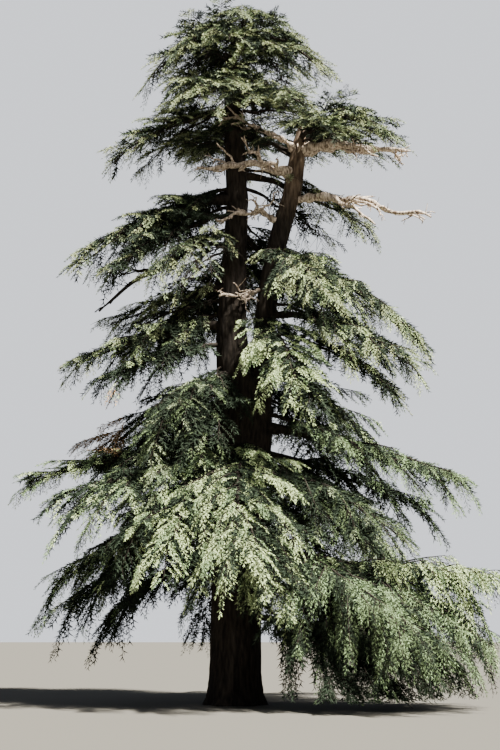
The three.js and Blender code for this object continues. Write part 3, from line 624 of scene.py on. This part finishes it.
def arm_point(arms, t):
    """Points on arms, at one share of its length for each row."""
    run = (t * arms["length"] * np.cos(arms["pitch"]))[..., None] * heading(arms["turn"])
    sideways = (arms["curl"] * t**2 * arms["length"])[..., None] * heading(arms["turn"] + 90)
    lift = (t * np.sin(arms["pitch"]) - arms["fall"] * t**2) * arms["length"]
    return arms["root"] + run + sideways + lift[..., None] * UP


def arm_tangent(arms, t):
    rise = np.sin(arms["pitch"]) - 2 * arms["fall"] * t
    ahead = heading(arms["turn"]) * np.cos(arms["pitch"])[..., None]
    return unit(ahead + (2 * arms["curl"] * t)[..., None] * heading(arms["turn"] + 90) + rise[..., None] * UP)


def pick(rows, index):
    return {key: value[index] for key, value in rows.items()}


def spread(counts):
    """For rows repeated counts times: the row's index, and the place of each copy in its row."""
    owner = np.repeat(np.arange(len(counts)), counts)
    first = np.repeat(np.cumsum(counts) - counts, counts)
    return owner, np.arange(len(owner)) - first


def branchlets_of(arms):
    """Branchlets on both sides of arms, in their plates, hanging off them, with a ragged edge."""
    pairs = (arms["length"] * np.hypot(1, arms["fall"]) / BRANCHLET_STEP).astype(int)
    counts = np.maximum(LEAST_BRANCHLETS, pairs) * 2
    owner, place = spread(counts)
    count = len(place)
    arm = pick(arms, owner)
    side = np.where(place % 2, 1.0, -1.0)
    t = (place + BRANCHLET_OFFSET + BRANCHLET_OFFSET * rng.random(count)) / counts[owner]
    t = np.minimum(BRANCHLET_END, t)
    angle = radians(BRANCHLET_ANGLE + sway(count, BRANCHLET_SPREAD) - BRANCHLET_CLOSING * t)
    along = arm_tangent(arm, t)
    across = heading(arm["turn"] + 90) + (arm["roll"] * side)[:, None] * UP
    across = unit(across * side[:, None] - (arm["hang"] * BRANCHLET_HANG)[:, None] * UP)
    out = along * np.cos(angle)[:, None] + across * np.sin(angle)[:, None]
    tilt = sway(count, *BRANCHLET_TILT) + arm["tilt"]
    edge = plate_half_width(ARM_PLATE, arm["half"], t) + ARM_EDGE
    return {
        "root": arm_point(arm, t),
        "along": unit(out + tilt[:, None] * UP),
        "length": edge / np.sin(angle) * vary(BRANCHLET_LENGTHS, count),
        "droop": lerp(*BRANCHLET_DROOP, arm["weep"]) * vary(BRANCHLET_DROOPS, count),
        "place": t,
        "painted_core_shade": arm["painted_core_shade"],
    }


def strand_point(strand, u):
    sag = (strand["droop"] * strand["length"] * u**2)[..., None] * UP
    return strand["root"] + (strand["length"] * u)[..., None] * strand["along"] - sag


def strand_tangent(strand, u):
    return unit(strand["along"] - (2 * strand["droop"] * u)[..., None] * UP)


def twigs_of(branchlets):
    """Twigs along branchlets, alternately on both sides, and one that carries each on at its tip."""
    counts = np.maximum(1, (branchlets["length"] / TWIG_STEP).round().astype(int)) * 2 + 1
    owner, place = spread(counts)
    count = len(place)
    strand = pick(branchlets, owner)
    u = (place + TWIG_OFFSET) / counts[owner] * TWIG_END
    last = place == counts[owner] - 1
    side = np.where(place % 2, 1.0, -1.0) * np.where(last, 0, 1)
    along = strand_tangent(strand, u)
    across = unit(np.cross(UP, along))
    lean = radians(TWIG_ANGLE + sway(count, TWIG_SPREAD)) * side
    tilt = sway(count, *TWIG_TILT)
    turned = along * np.cos(lean)[:, None] + across * np.sin(lean)[:, None]
    return {
        "root": strand_point(strand, u),
        "along": unit(turned + tilt[:, None] * UP),
        "length": TWIG_LENGTH * vary(TWIG_LENGTHS, count) * lerp(*TWIG_SHORTENING, u),
        "place": strand["place"],
        "owner": owner,
    }


def needles(surface, twigs, tints):
    """Tufts of needles as teeth that stand round each twig and lean along it."""
    count = len(twigs["length"])
    tuft = np.arange(NEEDLES)
    last = tuft == NEEDLES - 1
    at = (tuft + NEEDLE_OFFSET) / NEEDLES * twigs["length"][:, None]
    round_it = tuft * radians(GOLDEN_ANGLE) + 2 * np.pi * rng.random(count)[:, None]
    lean = radians(np.where(last, *NEEDLE_LEAN))
    along = twigs["along"][:, None, :]
    across = unit(np.cross(along, NEAR_UP))
    over = np.cross(across, along)
    outward = np.cos(round_it)[..., None] * across + np.sin(round_it)[..., None] * over
    point = along * np.cos(lean)[:, None] + outward * np.sin(lean)[:, None]
    size = (vary(NEEDLE_SIZES, (count, NEEDLES)) * twigs["size"][:, None])[..., None]
    foot = twigs["root"][:, None, :] + at[..., None] * along
    width = np.where(last[:, None], outward, along) * size * NEEDLE_WIDTH / 2
    corners = np.stack([foot - width, foot + width, foot + point * size * NEEDLE_LENGTH], axis=2)
    # Twigs in painted shade keep only their first tufts
    keep = inside(corners).all(axis=2) & ((tuft < INNER_NEEDLES) | ~twigs["shaded"][:, None])
    corners = corners[keep]
    faces = np.arange(corners.size // 3).reshape(-1, 3)
    surface.add(corners, faces, np.broadcast_to(tints[:, None], keep.shape)[keep])


def hanging_twigs(surface, arms):
    """Bare twigs that hang from the inner part of arms."""
    count = len(arms["length"])
    root = arm_point(arms, vary(HANGER_PLACES, count))
    way = heading(arms["turn"] + sway(count, HANGER_SPREAD))
    reach = vary(HANGER_REACH, count)
    s = np.linspace(0, 1, HANGER_RINGS)[None, :, None]
    points = root[:, None] + (way * reach[:, None] * HANGER_OUT)[:, None] * s
    points = points - s**HANGER_BEND * reach[:, None, None] * HANGER_FALL * UP
    keep = inside(points).all(axis=1)
    radii = np.linspace(*HANGER_RADIUS, HANGER_RINGS)
    tubes(surface, points[keep], np.broadcast_to(radii, (keep.sum(), HANGER_RINGS)), THIN_SIDES)


def tier_of(bough):
    return bough.name.split("_")[0]


def layer_table(bough):
    if bough.name in DENSE:
        return DENSE_LAYERS
    if bough.name in OPEN:
        return OPEN_LAYERS
    return TIER_LAYERS.get(tier_of(bough), DEEP_LAYERS)


def layers_of(bough):
    """The mass's own bough, and thinner ones over and under it, each with its layer."""
    for layer in layer_table(bough):
        z, turn = bough.z + layer.up * bough.half, bough.turn + layer.turn
        reach, half = bough.reach * layer.reach, bough.half * layer.half
        yield bough._replace(z=z, turn=turn, reach=reach, half=half), layer


def tints_of(bough):
    if bough.name in PAINTED_SUN_MASSES:
        return PAINTED_SUN_TINTS
    if bough.name in PAINTED_SHADE_MASSES:
        return PAINTED_SHADE_TINTS
    if bough.name in PAINTED_HALF_SHADE_MASSES:
        return PAINTED_HALF_SHADE_TINTS
    if bough.z < LOWER:
        return LOWER_TINTS
    return MIDDLE_TINTS if bough.z < MIDDLE else UPPER_TINTS


def deal_tints(mix, count):
    """A tint for each spray, in the shares that the mix gives."""
    names, shares = zip(*mix)
    return rng.choice([TINT[name] for name in names], size=count, p=shares)


def is_brown(points):
    (left, right), (low, high), back = BROWN_PATCH
    x, y, z = points.T
    dying = (x > left) & (x < right) & (z > low) & (z < high) & (y < back)
    return dying & (rng.random(len(x)) < BROWN_SHARE)


def arm_wood(wood, arms):
    s = np.linspace(0, ARM_WOOD, ARM_RINGS)
    middles = np.stack([arm_point(arms, np.full(len(arms["length"]), x)) for x in s], axis=1)
    keep = inside(middles).all(axis=1) & (arms["radius"] > 0)
    radii = arms["radius"][:, None] * lerp(1, ARM_THINNING, s)
    tubes(wood, middles[keep], radii[keep], THIN_SIDES)


def branchlet_wood(wood, branchlets):
    length = branchlets["length"]
    ends = np.stack([strand_point(branchlets, np.full(len(length), x)) for x in BRANCHLET_WOOD], axis=1)
    clear = inside(ends).all(axis=1) & (length > BARE_WOOD)
    tubes(wood, ends[clear], np.broadcast_to(BRANCHLET_RADIUS, (clear.sum(), 2)), THIN_SIDES)


def grow_mass(leaves, wood, arms, mix, layer):
    """All that grows on a layer's arms."""
    arm_wood(wood, arms)
    hanging_twigs(wood, arms)
    branchlets = branchlets_of(arms)
    branchlet_wood(wood, branchlets)
    branchlets = pick(branchlets, rng.random(len(branchlets["length"])) < layer.leafy)
    twigs = twigs_of(branchlets)
    # Sprays taken to lie in shade get the near-black tint, as painted shade, more at an arm's foot and a
    # bough's
    inner = lerp(*layer.inner, branchlets["place"]) + branchlets["painted_core_shade"]
    shaded = rng.random(len(branchlets["length"])) < inner
    tints = np.where(shaded, TINT["deep"], deal_tints(mix, len(shaded)))[twigs["owner"]]
    twigs["shaded"] = shaded[twigs["owner"]]
    twigs["size"] = np.where(twigs["shaded"], lerp(*INNER_SIZE, twigs["place"]), 1.0)
    needles(leaves, twigs, np.where(is_brown(twigs["root"]), TINT["brown"], tints))


def foliage_piece(name, boughs, tints, bark):
    """The needles and the twigs of a few masses, each kind as one piece."""
    leaves, wood = Surface(), Surface()
    nodes = [f"foliage_{bough.name}" for bough in boughs]
    for bough in boughs:
        for part, layer in layers_of(bough):
            grow_mass(leaves, wood, arms_of(part), tints_of(bough), layer)
            grow_mass(leaves, wood, spine_arm(part), tints_of(bough), layer)
    if boughs[0] is BOUGHS[0]:
        nodes.append("foliage_top")
        grow_mass(leaves, wood, top_arms(), UPPER_TINTS, FLAT_LAYERS[0])
    leaves.piece(f"needles_{name}", tints, False, nodes, "needles")
    wood.piece(f"twigs_{name}", [bark], True, nodes, "bark")


def foliage_pieces(tints, bark):
    tiers = {}
    for bough in BOUGHS:
        tiers.setdefault(tier_of(bough), []).append(bough)
    for tier, boughs in tiers.items():
        for n in range(0, len(boughs), PIECE_MASSES):
            foliage_piece(f"{tier}_{n // PIECE_MASSES + 1}", boughs[n : n + PIECE_MASSES], tints, bark)


# Materials

def plain_material(name, colour, roughness):
    material = bpy.data.materials.new(name)
    material.use_nodes = True
    shader = material.node_tree.nodes["Principled BSDF"]
    shader.inputs["Base Color"].default_value = (*colour, 1)
    shader.inputs["Roughness"].default_value = roughness
    shader.inputs["Specular IOR Level"].default_value = SPECULAR
    return material


def streak_colours(nodes, low, high):
    """A ramp between two colours of wood."""
    ramp = nodes.new("ShaderNodeValToRGB")
    for element, place, colour in zip(ramp.color_ramp.elements, STREAKS, (low, high)):
        element.position = place
        element.color = (*colour, 1)
    return ramp


def add_streaks(material, wood):
    """Gives a material colours and fine relief in streaks along Z; returns their noise and their colours."""
    nodes, links = material.node_tree.nodes, material.node_tree.links
    place = nodes.new("ShaderNodeTexCoord")
    squeeze = nodes.new("ShaderNodeMapping")
    squeeze.inputs["Scale"].default_value = (wood.scale, wood.scale, wood.scale / wood.stretch)
    pattern = nodes.new("ShaderNodeTexNoise")
    pattern.inputs["Scale"].default_value = 1
    pattern.inputs["Detail"].default_value = STREAK_DETAIL
    ramp = streak_colours(nodes, wood.low, wood.high)
    relief = nodes.new("ShaderNodeBump")
    relief.inputs["Distance"].default_value = wood.relief
    shader = nodes["Principled BSDF"]
    links.new(place.outputs["Object"], squeeze.inputs["Vector"])
    links.new(squeeze.outputs["Vector"], pattern.inputs["Vector"])
    links.new(pattern.outputs["Fac"], ramp.inputs["Fac"])
    links.new(ramp.outputs["Color"], shader.inputs["Base Color"])
    links.new(pattern.outputs["Fac"], relief.inputs["Height"])
    links.new(relief.outputs["Normal"], shader.inputs["Normal"])
    return pattern, ramp


def wood_material(name, wood):
    material = plain_material(name, wood.low, wood.roughness)
    add_streaks(material, wood)
    return material


def worn_bark():
    """Bark that gives way to worn brown wood higher up."""
    material = plain_material("leader_bark", SHADE_DARKENED_BARK.low, SHADE_DARKENED_BARK.roughness)
    pattern, bark_ramp = add_streaks(material, SHADE_DARKENED_BARK)
    nodes, links = material.node_tree.nodes, material.node_tree.links
    worn_ramp = streak_colours(nodes, *WORN)
    place = nodes.new("ShaderNodeTexCoord")
    split = nodes.new("ShaderNodeSeparateXYZ")
    height = nodes.new("ShaderNodeMapRange")
    height.inputs["From Min"].default_value, height.inputs["From Max"].default_value = WORN_FROM
    mix = nodes.new("ShaderNodeMix")
    mix.data_type = "RGBA"
    links.new(place.outputs["Object"], split.inputs["Vector"])
    links.new(split.outputs["Z"], height.inputs["Value"])
    links.new(height.outputs["Result"], mix.inputs["Factor"])
    links.new(pattern.outputs["Fac"], worn_ramp.inputs["Fac"])
    links.new(bark_ramp.outputs["Color"], mix.inputs["A"])
    links.new(worn_ramp.outputs["Color"], mix.inputs["B"])
    links.new(mix.outputs["Result"], nodes["Principled BSDF"].inputs["Base Color"])
    return material


# Trunk and limbs

def furrow(kind, x, y, z, shift=0):
    """Depth of one kind of furrow, from 0 beside it to the kind's share in its middle."""
    place = Vector((x * kind.across + shift, y * kind.across + shift, z * kind.along + kind.place))
    return max(0, 1 - abs(noise.noise(place)) * kind.sharp) * kind.share


def bark_depth(x, y, z):
    """Depth of the furrows between the bark's plates, from 0 on a plate to 1 in a furrow."""
    across, along = RIDGE_WANDER
    wander = noise.noise(Vector((x * across, y * across, z * along)))
    return furrow(RIDGES, x, y, z, wander) + furrow(CRACKS, x, y, z)


def upright_stem(surface, stem, grid, flare):
    """A stem with furrowed bark, and with the root flare where it has one."""
    around, up = grid
    heights = [row[0] for row in stem]
    z = np.linspace(heights[0], heights[-1], up)
    middle, half_x, half_y = (np.interp(z, heights, [row[i] for row in stem]) for i in (1, 2, 3))
    angle = ring_angles(around)
    low = np.maximum(0, 1 - z / FLARE_HEIGHT)[:, None] ** 2 if flare else np.zeros((up, 1))
    lobe = 1 + low * FLARE_DEPTH * np.cos(FLARE_LOBES * angle + radians(FLARE_PHASE))
    x = middle[:, None] + half_x[:, None] * lobe * np.cos(angle)
    y = half_y[:, None] * lobe * np.sin(angle)
    tall = np.broadcast_to(z[:, None], x.shape)
    depth = np.vectorize(bark_depth)(x, y, tall)
    inward = np.minimum(FURROW_DEPTH, FURROW_LIMIT * half_x)[:, None] * depth
    points = np.stack([x - inward * np.cos(angle), y - inward * np.sin(angle), tall], axis=-1)
    faces = (np.arange(up - 1)[:, None, None] * around + ring_faces(around)).reshape(-1, 4)
    surface.add(points, faces)


def gnarled(controls, t, wander, row):
    """Points along a limb's curve that wander off it, more towards its end."""
    strays = np.array([noise.noise_vector(Vector((row, s * WANDER_STEP, ROW_STEP * row))) for s in t])
    return curve_point(controls, t) + strays * (wander * np.minimum(1, WANDER_GROWTH * t))[:, None]


def add_limb(surface, points, radii, limb):
    bumps = np.array([noise.noise(Vector(p * KNOB_SCALE)) for p in points])
    tubes(surface, points[None], (radii * (1 + limb.knobs * bumps))[None], limb.sides)


def bough_wood(surface, bough, part, layer, row):
    """The wood of one layer of a bough, which runs under its sprays from its bare foot on."""
    t = np.linspace(0, BOUGH_END, BOUGH_LIMB.rings)
    sunk = np.clip((t - bough.bare) / SINK_OVER, 0, 1)[:, None] * BOUGH_SINK * UP
    points = gnarled(bough_controls(part), t, BOUGH_LIMB.wander, row) - sunk
    radii = layer.radius * bough_radius(bough, t) * lerp(1, BOUGH_THINNING, t)
    add_limb(surface, points, radii, BOUGH_LIMB)


def top_stem(surface):
    points = np.linspace(top_foot(), np.array(TOP.tip) - [0, 0, TOP.tip_inset], TOP_LIMB.rings)
    add_limb(surface, points, np.linspace(*TOP.stem, TOP_LIMB.rings), TOP_LIMB)


def bark_pieces(bark, leader_bark):
    trunk = Surface()
    upright_stem(trunk, TRUNK, TRUNK_GRID, True)
    trunk.piece("bark_trunk", [bark], True, ["trunk"], "bark")
    second = Surface()
    upright_stem(second, SECOND, SECOND_GRID, False)
    second.piece("bark_second_leader", [leader_bark], True, ["second_leader"], "bark")
    boughs = Surface()
    for i, bough in enumerate(BOUGHS):
        for n, (part, layer) in enumerate(layers_of(bough)):
            bough_wood(boughs, bough, part, layer, i + BOUGH_ROW[0] + BOUGH_ROW[1] * n)
    top_stem(boughs)
    names = [f"bough_{b.name}" for b in BOUGHS if b.limb]
    boughs.piece("bark_boughs", [bark], True, names, "bark")


def crooked(root, way, reach, steps, draws):
    """Points along a crooked twig."""
    kinks = np.cumsum(draws.normal(size=(steps, 3)), axis=0) * PRONG_KINK * reach
    return root + way * reach * np.linspace(0, 1, steps)[:, None] + kinks - kinks[0]


def prongs(surface, points, radii, seed):
    """Short crooked branches along a dead limb, on alternate sides, each with a twig of its own."""
    draws = np.random.default_rng(seed)
    for k, at in enumerate(PRONG_PLACES):
        i = int(at * (len(points) - 1))
        ahead = unit(points[i] - points[i - 1])
        aside = np.cross(ahead, UP) * (1 if k % 2 else -1)
        way = unit(ahead + draws.uniform(*PRONG_ASIDE) * aside + draws.uniform(*PRONG_RISE) * UP)
        reach = lerp(*PRONG_REACH, at) * draws.uniform(*PRONG_LENGTHS)
        prong = crooked(points[i], way, reach, PRONG.rings, draws)
        thin = np.linspace(PRONG.thick * radii[i] + PRONG_FOOT, PRONG.tip, PRONG.rings)
        tubes(surface, prong[None], thin[None], PRONG.sides)
        stray = unit(way + PRONG_TWIG_STRAY * draws.normal(size=3))
        twig = crooked(prong[PRONG_TWIG_RING], stray, PRONG_TWIG_REACH * reach, PRONG_TWIG.rings, draws)
        thinner = np.linspace(PRONG_TWIG.thick * thin[PRONG_TWIG_RING], PRONG_TWIG.tip, PRONG_TWIG.rings)
        tubes(surface, twig[None], thinner[None], PRONG_TWIG.sides)


def dead_branch(surface, controls, ends, limb, row, seed):
    """A dead limb or fork, whose radius goes from one end's to the other's, and its short branches."""
    t = np.linspace(0, 1, limb.rings)
    points = gnarled(controls, t, limb.wander, row)
    radii = lerp(*ends, t)
    add_limb(surface, points, radii, limb)
    prongs(surface, points, radii, seed)
    return points, radii


def dead_piece(name, chosen, material, slot):
    limbs = Surface()
    for n, dead in enumerate(chosen):
        ends = (dead.thick, DEAD_TIP)
        points, radii = dead_branch(limbs, bough_controls(dead), ends, DEAD_LIMB, n + DEAD_ROW, SEED + n)
        for m, (at, turn, reach, drop) in enumerate(dead.forks):
            i = int(at * (DEAD_LIMB.rings - 1))
            fork = limb_controls(points[i], dead.turn + turn, reach, drop, 0)
            ends = (FORK_THICK * radii[i], FORK_TIP * DEAD_TIP)
            row = n + FORK_ROW[0] * m + FORK_ROW[1]
            dead_branch(limbs, fork, ends, DEAD_FORK, row, SEED + FORK_SEED[0] * n + m + FORK_SEED[1])
    limbs.piece(name, [material], True, [f"dead_limb_{dead.name}" for dead in chosen], slot)


# Stage

def add_floor():
    bpy.ops.mesh.primitive_plane_add(size=FLOOR_SIZE, location=(0, 0, -FLOOR_DROP))
    floor = bpy.context.object
    floor.name = "floor"
    floor.data.materials.append(plain_material("floor", FLOOR_COLOUR, FLOOR_ROUGHNESS))


def add_world():
    """A weak fill of light from the sky, and a bright plain backdrop behind the tree."""
    world = bpy.data.worlds.new("studio")
    world.use_nodes = True
    nodes, links = world.node_tree.nodes, world.node_tree.links
    fill = nodes["Background"]
    fill.inputs["Color"].default_value = (*FILL_COLOUR, 1)
    fill.inputs["Strength"].default_value = FILL_STRENGTH
    backdrop = nodes.new("ShaderNodeBackground")
    backdrop.inputs["Color"].default_value = (*BACKDROP_COLOUR, 1)
    backdrop.inputs["Strength"].default_value = BACKDROP_STRENGTH
    seen = nodes.new("ShaderNodeLightPath")
    either = nodes.new("ShaderNodeMixShader")
    links.new(seen.outputs["Is Camera Ray"], either.inputs["Fac"])
    links.new(fill.outputs["Background"], either.inputs[1])
    links.new(backdrop.outputs["Background"], either.inputs[2])
    links.new(either.outputs["Shader"], nodes["World Output"].inputs["Surface"])
    bpy.context.scene.world = world


def add_sun():
    sun = bpy.data.lights.new("sun", "SUN")
    sun.energy = SUN_STRENGTH
    sun.angle = radians(SUN_WIDTH)
    sun.color = SUN_COLOUR
    lamp = bpy.data.objects.new("sun", sun)
    lamp.rotation_euler = Vector(SUN_WAY).to_track_quat("-Z", "Y").to_euler()
    bpy.context.collection.objects.link(lamp)


def add_camera():
    data = bpy.data.cameras.new("camera")
    data.lens = CAMERA_LENS
    data.sensor_width = CAMERA_SENSOR
    data.clip_end = CAMERA_RANGE
    camera = bpy.data.objects.new("camera", data)
    camera.location = CAMERA_PLACE
    camera.rotation_euler = (radians(90 + CAMERA_PITCH), 0, 0)
    bpy.context.collection.objects.link(camera)
    bpy.context.scene.camera = camera


bark = wood_material("bark", SHADE_DARKENED_BARK)
leader_bark = worn_bark()
dead_wood = wood_material("dead_wood", DEAD_WOOD)
needle_tints = [plain_material(f"needles_{name}", colour, NEEDLE_ROUGHNESS) for name, colour in NEEDLE_TINTS]

bark_pieces(bark, leader_bark)
dead_piece("dead_limbs", [dead for dead in DEAD if dead.name not in BARKED], dead_wood, "dead_wood")
dead_piece("dead_limbs_barked", [dead for dead in DEAD if dead.name in BARKED], bark, "bark")
foliage_pieces(needle_tints, bark)
add_floor()
add_world()
add_sun()
add_camera()
